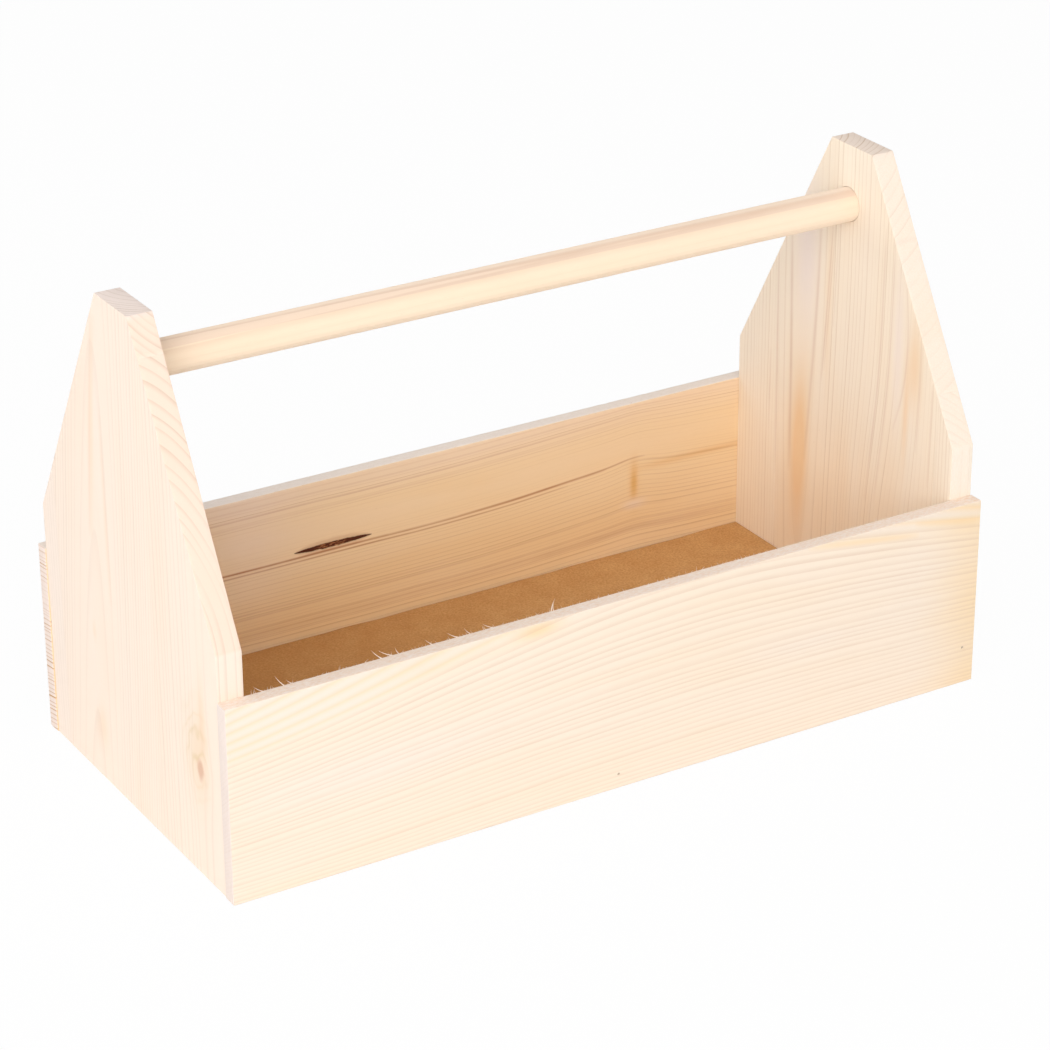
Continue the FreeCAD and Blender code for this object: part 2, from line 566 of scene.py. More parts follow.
@dataclass(frozen=True)
class Pine:
    """A finish of solid pine, the same wood on every side of the piece.

    Attributes:
        name: the finish's name.
        slot: the record's slot that it belongs to.
        grain: which way the fibres run.
        rings: where the board was in its log.
        tones: its colours.
        contrast: how strongly the late wood shows.
        amber, cool: resinous streaks, and dull places; some cool spots are painted light, lightening
            a shaded place.
        knots, bark: branches, and pockets of bark.
        plain: places where the lines hardly show.
        dark_years: very dark years, each fading out along the grain.
        bands: how broadly amber and pale the years round the heart are.
        shade_above: where across the piece a painted shade starts, darkening its upward side above
            that line, if it has any.
        sawn: how much of the ripped edges' own tone shows.
        edge_contrast, end_contrast: how strongly the late wood shows on the narrow sides,
            and on end grain.
        choosy: how much some years are darker than others.
        mottle: how much amber and cool wander over the board by themselves.
        fuzzy: how evenly it shades round a curve, as raw round stock does.
    """

    name: str
    slot: str
    grain: Grain
    rings: Rings
    tones: Tones
    contrast: float = 0.6
    amber: tuple[Spot, ...] = ()
    cool: tuple[Spot, ...] = ()
    knots: tuple[Knot, ...] = ()
    bark: tuple[BarkPocket, ...] = ()
    plain: tuple[Spot, ...] = ()
    dark_years: tuple[Vein, ...] = ()
    bands: float = 0.0
    shade_above: float | None = None
    sawn: float = 0.0
    edge_contrast: float = 0.5
    end_contrast: float = 0.8
    choosy: float = 0.75
    mottle: float = 0.5
    fuzzy: float = 0.0

    def build(self) -> bpy.types.Material:
        """Make the material."""
        shader = Shader(bpy.data.materials.new(self.name))
        at = Point(shader, *shader.axes(self.grain, shader.place()))
        normal = shader.node("ShaderNodeNewGeometry", output="Normal")
        endwise, edgewise, _ = (abs(part) for part in shader.axes(self.grain, normal))
        end, edge = endwise.step(0.35, 0.9), edgewise.step(0.55, 0.9)
        straight = self.rings.straighten(at, self.knots)
        count, width, young = self.rings.count(straight)
        late = self.late_wood(at, count, width) * (1.0 - young * self.bands)
        show = late * (edge * (self.edge_contrast - self.contrast) + self.contrast)
        fibre, silk = at.noise(FIBRE), at.noise(SILK)
        colour = self.face_colour(at, show, fibre, silk)
        if self.bands:
            swell = count.part() * (1.0 - count.part()) * 4.0
            colour = shader.mix(young * swell * self.bands, colour, self.tones.cool)
            colour = shader.mix(young * (1.0 - swell) * self.bands, colour, self.tones.amber)
        colour = self.darken_years(straight, colour)
        colour = self.blemishes(at, colour)
        colour = shader.mix(endwise.step(0.15, 0.45), colour, self.tones.slant, "MULTIPLY")
        colour = self.cut_faces(at, colour, late, end, edge)
        height = fibre * 0.8 + late * 0.35 + silk * 0.5
        return shader.surface(colour, 0.78 - late * 0.1, height, relief=0.05, fuzzy=self.fuzzy)

    def late_wood(self, at: Point, count: Sock, width: Sock) -> Sock:
        """How much late wood there is at each point.

        Args:
            at: the point.
            count: the number of rings to it from the heart.
            width: the width of its ring, in mm.

        Returns:
            A value from 0 to 1.
        """
        tree, year = at.tree, count.floor()
        before = (1.0 - count.part()) * width
        strength = tree.random(year).squared() * self.choosy + (1.0 - self.choosy)
        patches = tree.vector(at.along / PATCH_LENGTH, year * 3.7, 0.0)
        patchy = tree.noise(patches, 1.0) * 0.9 + 1.0
        line = before.step(self.rings.late_depth, 0.1) ** 1.4 * before.step(0.0, LINE_EDGE)
        for spot in self.plain:
            line = line * (1.0 - spot.weight(at) * spot.amount)
        return (line * strength * patchy).kept()

    def darken_years(self, at: Point, colour: Sock) -> Sock:
        """The colour with its few very dark years added, at a straightened point."""
        tree = at.tree
        for year in self.dark_years:
            fading = tree.vector(at.along / FADE_LENGTH, year.across, 0.0)
            waver = tree.noise(fading, 2.0) * 1.2 + 1.0
            colour = tree.mix((year.weight(at) * waver * year.amount).kept(), colour, DARK_YEAR)
        return colour

    def face_colour(self, at: Point, late: Sock, fibre: Sock, silk: Sock) -> Sock:
        """The colour of the wood before knots, bark and cut faces.

        Args:
            at: the point.
            late: how much late wood shows there.
            fibre: the noise of its single fibres.
            silk: the noise of its broader streaks.

        Returns:
            The colour.
        """
        mix, tones = at.tree.mix, self.tones
        wander = at.noise(WANDER) * self.mottle
        colour = mix(spotted(wander, self.amber, at), tones.early, tones.amber)
        colour = mix(spotted(-wander, self.cool, at), colour, tones.cool)
        colour = mix(late, colour, tones.late)
        # painted shade: the wood above that line, on the upward side, is darkened
        if self.shade_above is not None:
            inside = (at.across + wander - self.shade_above).step(-0.2, 0.25)
            colour = mix(inside, colour, TOP_SHADE, "MULTIPLY")
        streaks = (fibre * 0.4 + silk * 0.15 + 0.5).kept()
        return mix(1.0, colour, mix(streaks, STREAK_DARK, STREAK_LIGHT), "MULTIPLY")

    def blemishes(self, at: Point, colour: Sock) -> Sock:
        """The colour with resin specks, knots and bark added."""
        specks = at.noise(SPECKS).step(0.25, 0.36) * 0.28
        colour = at.tree.mix(specks, colour, self.tones.late)
        for knot in self.knots:
            colour = knot.stain(at, colour, self.tones.amber)
        for pocket in self.bark:
            colour = pocket.stain(at, colour)
        return colour

    def cut_faces(self, at: Point, colour: Sock, late: Sock, end: Sock, edge: Sock) -> Sock:
        """The colour with the tones of end grain and of ripped edges laid over it.

        Args:
            at: the point.
            colour: the wood's colour there.
            late: how much late wood there is.
            end: how squarely the face cuts the grain, from 0 to 1.
            edge: how squarely it looks along the board's width, from 0 to 1.

        Returns:
            The colour.
        """
        mix, tones = at.tree.mix, self.tones
        rings = mix(late * self.end_contrast, tones.end, tones.late)
        pores = mix((at.noise(PORES) * 0.5 + 0.5).least(1.0), PORE_DARK, PORE_LIGHT)
        colour = mix(end, colour, mix(1.0, rings, pores, "MULTIPLY"))
        ripped = mix((at.noise(SAW_FUZZ) * 2.6 + 0.45).kept(), tones.sawn, TORN_FIBRE)
        return mix(edge * self.sawn, colour, ripped)


@dataclass(frozen=True)
class Fibreboard:
    """Pressed brown fibre, mottled and slightly hairy.

    Attributes:
        name: the finish's name.
        slot: the record's slot that it belongs to.
        base, dark, light: its usual colour, the darker fibres and the paler clouds.
        painted_light_slope: how much paler each millimetre towards the tote's right end is, painted
            light for the brighter light there.
        cloud_size, fibre_size: how broad its clouds and how long its fibres are, in mm.
    """

    name: str = "fibreboard"
    slot: str = "fibreboard_base"
    base: Colour = srgb(199, 148, 92)
    dark: Colour = srgb(164, 110, 60)
    light: Colour = srgb(222, 178, 122)
    painted_light_slope: float = 0.0018
    cloud_size: float = 22.0
    fibre_size: float = 1.4

    def build(self) -> bpy.types.Material:
        """Make the material."""
        shader = Shader(bpy.data.materials.new(self.name))
        place = shader.place()
        cloud = shader.noise(shader.scaled(place, 1 / self.cloud_size), 3.0, 0.6)
        fibre = shader.noise(shader.scaled(place, 1 / self.fibre_size), 3.0, 0.7)
        # painted light: the base grows paler towards the tote's right end
        pale = cloud * 1.2 + shader.parts(place)[0] * self.painted_light_slope + 0.31
        colour = shader.mix(pale.kept(), self.base, self.light)
        colour = shader.mix((fibre * 1.6 + 0.25).kept(0.8), colour, self.dark)
        return shader.surface(colour, 0.82, fibre, relief=0.12, specular=0.2)


@dataclass(frozen=True)
class BradSteel:
    """Bright drawn wire, a little dull.

    Attributes:
        name: the finish's name.
        clean, dull: its bright and its dull colour.
        stain_size: how broad its dull places are, in mm.
    """

    name: str = "brad_steel"
    clean: Colour = srgb(216, 200, 180)
    dull: Colour = srgb(168, 148, 126)
    stain_size: float = 0.4

    def build(self) -> bpy.types.Material:
        """Make the material."""
        shader = Shader(bpy.data.materials.new(self.name))
        stain = shader.noise(shader.scaled(shader.place(), 1 / self.stain_size), 3.0, 0.6)
        colour = shader.mix((stain * 1.5 + 0.5).kept(), self.clean, self.dull)
        return shader.surface(colour, stain * 0.2 + 0.45, stain, relief=0.03, metallic=0.9)


# ---- meshes -------------------------------------------------------------------------------


def soften(mesh: bpy.types.Mesh, crease_degrees: float = 40.0) -> None:
    """Shade a mesh smooth, but leave its sharper edges crisp."""
    mesh.polygons.foreach_set("use_smooth", [True] * len(mesh.polygons))
    mesh.set_sharp_from_angle(angle=math.radians(crease_degrees))
    mesh.update()


def dress(piece: bpy.types.Object, finish: bpy.types.Material) -> None:
    """Give a piece its only material."""
    piece.data.materials.clear()
    piece.data.materials.append(finish)


def finished(piece: bpy.types.Object, finish: bpy.types.Material, slot: str,
             *nodes: str) -> None:
    """Dress a piece and let it ride with the tote.

    Args:
        piece: the object, its place in its mesh.
        finish: its material.
        slot: the record's material slot; not used.
        nodes: the CAD nodes that it stands for; such a piece is shaded smooth.
    """
    dress(piece, finish)
    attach(piece, BODY)
    if nodes:
        soften(piece.data)
        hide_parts(*nodes)
    log.info("%s: %d faces", piece.name, len(piece.data.polygons))


def new_object(name: str, data: bpy.types.ID) -> bpy.types.Object:
    """A linked object with that mesh, lamp or camera."""
    piece = bpy.data.objects.new(name, data)
    bpy.context.scene.collection.objects.link(piece)
    return piece


def edited(name: str, made: bmesh.types.BMesh) -> bpy.types.Object:
    """A linked object with a mesh that was being edited."""
    mesh = bpy.data.meshes.new(name)
    made.to_mesh(mesh)
    made.free()
    return new_object(name, mesh)


def plain(name: str, points: Sequence[Sequence[float]] = (), edges: Sequence[tuple[int, ...]] = (),
          faces: Sequence[tuple[int, ...]] = ()) -> bpy.types.Object:
    """A linked object with a mesh of those points, edges and faces."""
    mesh = bpy.data.meshes.new(name)
    mesh.from_pydata(points, edges, faces)
    return new_object(name, mesh)


def freeze(piece: bpy.types.Object) -> None:
    """Turn a piece with modifiers into a plain mesh."""
    graph = bpy.context.evaluated_depsgraph_get()
    mesh = bpy.data.meshes.new_from_object(piece.evaluated_get(graph))
    piece.modifiers.clear()
    piece.data = mesh


def drill(piece: bpy.types.Object, holes: Sequence[tuple[Vector, Vector]], radius: float,
          sides: int) -> None:
    """Drill round holes in a piece.

    Args:
        piece: the object, its place in its mesh.
        holes: the two ends of each hole, in metres.
        radius: their radius in mm.
        sides: how many sides each has.
    """
    made = bmesh.new()
    for start, end in holes:
        turn = (end - start).to_track_quat("Z", "Y").to_matrix().to_4x4()
        turn.translation = (start + end) / 2
        bmesh.ops.create_cone(made, cap_ends=True, segments=sides, radius1=radius * MM,
                              radius2=radius * MM, depth=(end - start).length, matrix=turn)
    cutter = edited("cutter", made)
    modifier = piece.modifiers.new("cut", "BOOLEAN")
    modifier.operation = "DIFFERENCE"
    modifier.solver = "EXACT"
    modifier.object = cutter
    freeze(piece)
    bpy.data.objects.remove(cutter)


WEAR_LENGTH, CHIP_LENGTH = 9.0, 3.1         # of the unevenness along an arris, in mm
WANDER_LENGTH, TOOTH_LENGTH = 38.0, 2.3     # of the waves along a sawn side, in mm


@dataclass
class SawnPiece:
    """A sawn piece: a four-sided section carried along the grain.

    Attributes:
        name: the piece's name.
        grain: which way its fibres run.
        deep: its two faces, in depth.
        stations: where sections stand, along the grain.
        sides: the lower and the upper limit across the piece at a station, and whether each
            is free there, and not glued.
        step: the spacing of the points round the section.
        arris, glued_arris: the usual radius of a worn arris, and of one by a glue line.
        waver: how far the sawn sides waver.
        seed: where its noise starts.
        blunt_ends: whether the first and the last section are worn too.
        relief: an extra depth below each point, from along, across and deep.
        arc_parts: how many parts the curve of an arris has.
    """

    name: str
    grain: Grain
    deep: tuple[float, float]
    stations: Sequence[float]
    sides: Callable[[float], Sides]
    step: float = 2.5
    arris: float = 0.45
    glued_arris: float = 0.06
    waver: float = 0.12
    seed: int = 1
    blunt_ends: tuple[bool, bool] = (True, True)
    relief: Callable[[float, float, float], float] = lambda along, across, deep: 0.0
    arc_parts: int = 3

    def ripple(self, along: float, place: float, row: int) -> float:
        """Smooth noise from -1 to 1 for one row of points."""
        return noise.noise(Vector((along, place, row * 7.3 + self.seed * 31.7)))

    def corner_radius(self, along: float, corner: int, is_free: bool, width: float) -> float:
        """The radius of one arris at a station."""
        radius = self.glued_arris
        if is_free:
            wear = self.ripple(along / WEAR_LENGTH, 0.0, corner)
            chip = max(0.0, self.ripple(along / CHIP_LENGTH, 5.0, corner + 4) - 0.42) * 3.2
            radius = self.arris * (1.0 + 0.45 * wear + chip)
        return max(WELD, min(radius, width * 0.45))

    def section(self, along: float, inset: float, counts: tuple[int, int]) -> list[Vector]:
        """The points of one section, in order round the piece.

        Args:
            along: the station.
            inset: how far the section is drawn in on all sides.
            counts: how many parts the broad and the narrow sides have.

        Returns:
            The points, in metres.
        """
        low, high, low_free, high_free = self.sides(along)
        near, far = self.deep
        inset = min(inset, (high - low) * 0.45)
        low, high, near, far = low + inset, high - inset, near + inset, far - inset
        width = min(high - low, far - near)
        corners = ((low, near, 1, 1, low_free), (high, near, -1, 1, high_free),
                   (high, far, -1, -1, high_free), (low, far, 1, -1, low_free))
        arcs = []
        for number, (across, deep, in_across, in_deep, is_free) in enumerate(corners):
            radius = self.corner_radius(along, number, is_free, width)
            start = math.atan2(-in_deep, -in_across) - math.pi / 4
            turns = [start + math.pi / 2 * part / self.arc_parts
                     for part in range(self.arc_parts + 1)]
            arcs.append([(across + in_across * radius + radius * math.cos(turn),
                          deep + in_deep * radius + radius * math.sin(turn)) for turn in turns])
        points = []
        for number, arc in enumerate(arcs):
            (across, deep), (next_across, next_deep) = arc[-1], arcs[(number + 1) % 4][0]
            count = counts[number % 2]
            points += arc
            points += [(across + (next_across - across) * part / count,
                        deep + (next_deep - deep) * part / count) for part in range(1, count)]
        limits = (low, high, low_free, high_free)
        return [self.settle(along, across, deep, limits) for across, deep in points]

    def settle(self, along: float, across: float, deep: float, limits: Sides) -> Vector:
        """One point in the frame, with the wavering of its sawn side.

        Args:
            along: its place along the grain.
            across: its place across the piece.
            deep: its place in depth.
            limits: the sides of its section.

        Returns:
            The point, in metres.
        """
        low, high, low_free, high_free = limits
        drawn = (1.0 + self.ripple(along / WANDER_LENGTH, deep / 30, 11)) * 0.5 * self.waver
        drawn += (1.0 + self.ripple(along / TOOTH_LENGTH, deep / 3, 12)) * 0.2 * self.waver
        if low_free and across - low < self.arris:
            across += drawn
        elif high_free and high - across < self.arris:
            across -= drawn
        depth = self.relief(along, across, deep)
        deep += depth if deep < sum(self.deep) / 2 else -depth
        return self.grain.place(along, across, deep)

    def levels(self) -> list[tuple[float, float]]:
        """Each station with how far its section is drawn in."""
        worn = self.arris * 0.8
        turns = [math.pi / 2 * part / self.arc_parts for part in range(self.arc_parts)]
        curve = [(worn * (1 - math.cos(turn)), worn * (1 - math.sin(turn))) for turn in turns]
        first, last = self.stations[0], self.stations[-1]
        levels = [(along, 0.0) for along in self.stations]
        if self.blunt_ends[0]:
            inner = [level for level in levels if level[0] > first + worn]
            levels = [(first + back, inset) for back, inset in curve] + inner
        if self.blunt_ends[1]:
            inner = [level for level in levels if level[0] < last - worn]
            levels = inner + [(last - back, inset) for back, inset in reversed(curve)]
        return levels

    def build(self) -> bpy.types.Object:
        """Make the closed mesh and its object."""
        widest = max(high - low for low, high, *_ in map(self.sides, self.stations))
        thick = self.deep[1] - self.deep[0]
        counts = (max(2, round(widest / self.step)), max(2, round(thick / self.step)))
        made = bmesh.new()
        rows = [[made.verts.new(point) for point in self.section(along, inset, counts)]
                for along, inset in self.levels()]
        for row, ahead in zip(rows, rows[1:]):
            for i in range(len(row)):
                j = (i + 1) % len(row)
                made.faces.new((row[i], row[j], ahead[j], ahead[i]))
        made.faces.new(rows[0])
        made.faces.new(rows[-1])
        bmesh.ops.remove_doubles(made, verts=made.verts, dist=WELD * MM)
        bmesh.ops.recalc_face_normals(made, faces=made.faces)
        return edited(self.name, made)


def spaced(start: float, end: float, step: float, marks: Sequence[float] = ()) -> list[float]:
    """Even stations from start to end, with the marks among them."""
    count = max(1, round((end - start) / step))
    even = [start + (end - start) * part / count for part in range(count + 1)]
    inner = [mark for mark in marks if start < mark < end]
    kept = [s for s in even if all(abs(s - mark) > step * 0.3 for mark in inner)]
    return sorted(set(kept + inner + [start, end]))


# ---- geometry nodes -----------------------------------------------------------------------


FIBRE_TURNS = (0.75, 0.9, 0.6)     # how far torn fibres turn either way, in radians
SLIVER_BOW = 5.0                   # how strongly slivers bend


class Growth(Tree):
    """A Geometry Nodes tree, with a geometry and a material coming in."""

    def __init__(self, name: str, **inputs: str) -> None:
        """Start a tree, with its further inputs' names and the kinds of value they take."""
        super().__init__(bpy.data.node_groups.new(name, "GeometryNodeTree"))
        face = self.tree.interface
        face.new_socket("Geometry", in_out="OUTPUT", socket_type="NodeSocketGeometry")
        for socket, kind in {"geometry": "Geometry", "material": "Material", **inputs}.items():
            face.new_socket(socket, in_out="INPUT", socket_type=f"NodeSocket{kind}")
        entry = self.tree.nodes.new("NodeGroupInput")
        self.given = {output.name: Sock(self, output) for output in entry.outputs}

    def finish(self, geometry: Sock) -> None:
        """Realize what was grown, give it its material and lead it out."""
        real = self.node("GeometryNodeRealizeInstances", inputs={0: geometry})
        dressed = self.node("GeometryNodeSetMaterial",
                            inputs={0: real, "Material": self.given["material"]})
        out = self.tree.nodes.new("NodeGroupOutput")
        self.tree.links.new(dressed.socket, out.inputs[0])

    def stand(self, points: Sock, turn: Sock, size: Sock) -> None:
        """Stand a tapered, bent sliver on each point.

        Args:
            points: where their feet are.
            turn: how each is turned from upright, about X, Y and Z, in radians.
            size: the half thicknesses and the length of each, in metres.
        """
        cone = self.node("GeometryNodeMeshCone", {"fill_type": "NGON"},
                         {"Vertices": 5, "Side Segments": 5, "Radius Top": 0.08,
                          "Radius Bottom": 1.0, "Depth": 1.0}, "Mesh")
        height = self.parts(self.node("GeometryNodeInputPosition"))[2]
        bow = self.vector(height.squared() * SLIVER_BOW, 0.0, 0.0)
        sliver = self.node("GeometryNodeSetPosition", inputs={0: cone, "Offset": bow})
        self.finish(self.node("GeometryNodeInstanceOnPoints", inputs={
            "Points": points, "Instance": sliver, "Rotation": turn, "Scale": size}))

    def grow(self, piece: bpy.types.Object, finish: bpy.types.Material,
             **values: float) -> None:
        """Run the tree on a piece and keep the plain mesh.

        Args:
            piece: the object that carries the starting geometry.
            finish: what the grown geometry is made of.
            values: the tree's further inputs.
        """
        modifier = piece.modifiers.new(self.tree.name, "NODES")
        modifier.node_group = self.tree
        for item in self.tree.interface.items_tree:
            if item.in_out == "INPUT" and item.name != "geometry":
                modifier[item.identifier] = {"material": finish, **values}[item.name]
        freeze(piece)


def fuzz_tree() -> Growth:
    """A tree that grows saw fuzz along an edge: torn fibres of random length and lean."""
    growth = Growth("saw_fuzz", count="Int", seed="Int", shortest="Float", longest="Float",
                    thickness="Float", spread="Float", outward="Float")
    given = growth.given

    def chance(low: Number, high: Number, offset: int) -> Sock:
        """A random number for each fibre."""
        seed = given["seed"] + float(offset)
        return growth.node("FunctionNodeRandomValue", {"data_type": "FLOAT"},
                           {2: low, 3: high, "Seed": seed}, 1)

    line = growth.node("GeometryNodeMeshToCurve", inputs={0: given["geometry"]})
    points = growth.node("GeometryNodeCurveToPoints", {"mode": "COUNT"},
                         {0: line, "Count": given["count"]})
    slide = growth.vector(chance(-given["spread"], given["spread"], 1), 0.0, 0.0)
    points = growth.node("GeometryNodeSetPosition", inputs={0: points, "Offset": slide})
    lean, swing, twist = (chance(-most, most, 2 + axis) for axis, most in enumerate(FIBRE_TURNS))
    turn = growth.vector(given["outward"] + lean, swing, twist)
    length = growth.node("ShaderNodeMapRange", inputs={
        "Value": chance(0.0, 1.0, 5) ** 3.0, "To Min": given["shortest"],
        "To Max": given["longest"]})
    growth.stand(points, turn, growth.vector(given["thickness"], given["thickness"], length))
    return growth


def splinter_tree() -> Growth:
    """A tree that stands one splinter on each point, by the turn and size it carries."""
    growth = Growth("splinters")
    turn, size = (growth.node("GeometryNodeInputNamedAttribute",
                              {"data_type": "FLOAT_VECTOR"}, {"Name": name})
                  for name in ("turn", "size"))
    growth.stand(growth.given["geometry"], turn, size)
    return growth


def rod_tree() -> Growth:
    """A tree that draws a rod: a round section, planed a little flat at even turns."""
    growth = Growth("planed_rod", radius="Float", half_length="Float", height="Float",
                    flatness="Float", chamfer="Float", flats="Int", sides="Int", parts="Int")
    given = growth.given
    bar = growth.node("GeometryNodeMeshCylinder", {"fill_type": "NGON"}, {
        "Vertices": given["sides"], "Side Segments": given["parts"],
        "Radius": given["radius"], "Depth": given["half_length"] * 2.0}, "Mesh")
    x, y, z = growth.parts(growth.node("GeometryNodeInputPosition"))
    wave = (growth.math("ARCTAN2", y, x) * given["flats"]).cosine()
    worn = (given["chamfer"] - (given["half_length"] - abs(z))).most(0.0)
    scale = (1.0 - (wave + 1.0) * given["flatness"]) * (1.0 - worn / given["radius"])
    place = growth.vector(z, x * scale, y * scale + given["height"])
    growth.finish(growth.node("GeometryNodeSetPosition", inputs={0: bar, "Position": place}))
    return growth


# ---- wood of this tote ----------------------------------------------------------------------

FACE_TONES = Tones(early=srgb(247, 230, 211), late=srgb(214, 180, 150),
                   amber=srgb(247, 216, 170), cool=srgb(242, 230, 220),
                   end=srgb(238, 223, 214), sawn=srgb(243, 214, 190))
LEFT_TONES = Tones(early=srgb(248, 230, 214), late=srgb(210, 190, 170),
                   amber=srgb(247, 214, 184), cool=srgb(241, 229, 221),
                   end=srgb(248, 232, 223), sawn=srgb(240, 214, 194))
RIGHT_TONES = Tones(early=srgb(253, 239, 219), late=srgb(204, 170, 134),
                    amber=srgb(247, 211, 168), cool=srgb(247, 233, 224),
                    end=srgb(249, 231, 216), sawn=srgb(244, 227, 210))
BACK_TONES = Tones(early=srgb(252, 224, 182), late=srgb(196, 149, 92),
                   amber=srgb(238, 192, 126), cool=srgb(252, 229, 206),
                   end=srgb(240, 223, 213), sawn=srgb(246, 232, 220))
ROD_TONES = replace(FACE_TONES, early=srgb(247, 229, 206))
LEFT_SLANTED = replace(LEFT_TONES, slant=(1.0, 0.915, 0.865))
RIGHT_SLANTED = replace(RIGHT_TONES, slant=(1.0, 0.95, 0.92))

FRONT_PINE = Pine(
    "front_board_pine", "pine_front_board", Grain.LENGTHWISE,
    Rings(186, 47, 2.3, middle=64, half_length=355, drift_across=(5, 34), drift_deep=(-3, -50),
          phase=0.3, calm=179, calm_width=3.6, late_depth=1.9, unevenness=2.0),
    FACE_TONES, contrast=0.36, sawn=0.85, choosy=0.45, end_contrast=0.12, bands=0.4,
    amber=(Spot(-60, 121, 14, 5, 0.8), Vein(172, 119, 42, 2.4, 0.6, lean=-6),
           # Spot(262, 60, 30, 200, 0.65) makes the board's right end more orange
           Vein(236, 116, 26, 2.4, 0.6, lean=-5), Spot(262, 60, 30, 200, 0.65),
           Spot(-130, 117, 60, 8, 0.2)),
    cool=(Spot(-150, 62, 90, 14, 0.4), Spot(130, 62, 60, 8, 0.3)))
BACK_PINE = Pine(
    "back_board_pine", "pine_back_board", Grain.LENGTHWISE,
    Rings(-200, 81, 2.9, phase=0.1, wobble=1.6, unevenness=2.4, late_depth=1.2,
          bends=(Spot(160, 75, 85, 60, 7), Spot(163, 78, 18, 40, 3))),
    BACK_TONES, contrast=0.46, sawn=0.9, end_contrast=1.3, choosy=0.7,
    amber=(Spot(161, 68, 3.2, 14), Vein(212, 77, 50, 2.5, 0.5),
           # the two broad spots make the board warmer along its lower part
           Spot(-40, 32, 260, 20, 0.28), Spot(-20, 62, 130, 16, 0.22)),
    # painted light: Spot(-128, 100, 34, 60, 0.6) lightens the board's left end, where the left panel
    # casts its shade
    cool=(Spot(-128, 100, 34, 60, 0.6), Spot(161, 52, 9, 4, 0.9),
          Spot(0, 121, 600, 12, 0.6), Spot(0, 93, 400, 8, 0.12)),
    plain=(Spot(0, 93, 600, 10, 0.95),), bark=(BarkPocket(-65.5, 79.2, 28, 2.0, face=115.5),),
    dark_years=(Vein(-150, 75.3, 125, 0.7, 0.75), Vein(20, 75.0, 120, 0.6, 0.5),
                Vein(98, 75.6, 72, 0.65, 0.55), Vein(-150, 72.8, 140, 0.5, 0.45),
                Vein(10, 72.6, 100, 0.6, 0.45), Vein(210, 73.0, 60, 0.6, 0.2),
                Vein(0, 33.3, 300, 0.7, 0.22), Vein(0, 30.0, 300, 0.8, 0.25),
                Vein(0, 27.2, 300, 0.6, 0.18), Vein(155, 28.4, 75, 0.9, 0.2),
                Vein(-60, 111.8, 240, 0.6, 0.2), Vein(-60, 106.6, 240, 0.6, 0.12),
                Vein(20, 117.6, 240, 0.5, 0.12), Vein(-100, 45.3, 200, 0.6, 0.2),
                Vein(-40, 42.0, 240, 0.6, 0.2)))
ROD_PINE = Pine(
    "rod_pine", "pine_rod", Grain.LENGTHWISE,
    Rings(262, 14, 2.6, drift_across=(0.5, 0), wobble=0.6, unevenness=0.8),
    # the darker band along the rod's upper side is painted shade
    ROD_TONES, contrast=0.16, shade_above=291.3, mottle=0.3, fuzzy=0.85)


def stave(name: str, tones: Tones, rings: Rings, **looks: object) -> Pine:
    """The finish of one upright stave, with Pine's further looks."""
    return Pine(f"{name}_stave_pine", "pine_end_panel", Grain.UPRIGHT, rings, tones, **looks)


LEFT_STAVES = {
    "front_stave": stave(
        "left_front", LEFT_SLANTED, Rings(-110, -285, 4.2, phase=0.2, late_depth=2.0),
        contrast=0.4, edge_contrast=0.5, choosy=0.4, knots=(Knot(70, -89, 7, 5, 0.85),),
        amber=(Spot(103, -93, 24, 4.5, 0.5),), plain=(Spot(180, -95, 200, 14, 0.7),)),
    "middle_stave": stave(
        "left_middle", LEFT_SLANTED,
        Rings(41, -225, 2.9, middle=160, half_length=160, drift_across=(-14.8, 0),
              drift_deep=(6.5, 0), phase=-0.08, wobble=1.6, unevenness=0.6, calm=45,
              calm_width=5.0, late_depth=1.8),
        contrast=0.38, edge_contrast=0.48, choosy=0.6,
        amber=(Vein(236, 36, 76, 3.4, 0.45, lean=-11, bow=-1), Spot(98, 50, 6, 2.5, 0.35),
               Vein(190, 23.5, 65, 2.2, 0.35), Spot(36, 47, 14, 7, 0.5)),
        dark_years=(Vein(236, 38, 76, 1.2, 0.07, lean=-11, bow=-1),
                    Vein(190, 22.5, 65, 0.9, 0.06))),
    "back_stave": stave("left_back", LEFT_TONES, Rings(190, -225, 3.0), contrast=0.36,
                        cool=(Spot(90, 106, 300, 20, 0.3),)),
}
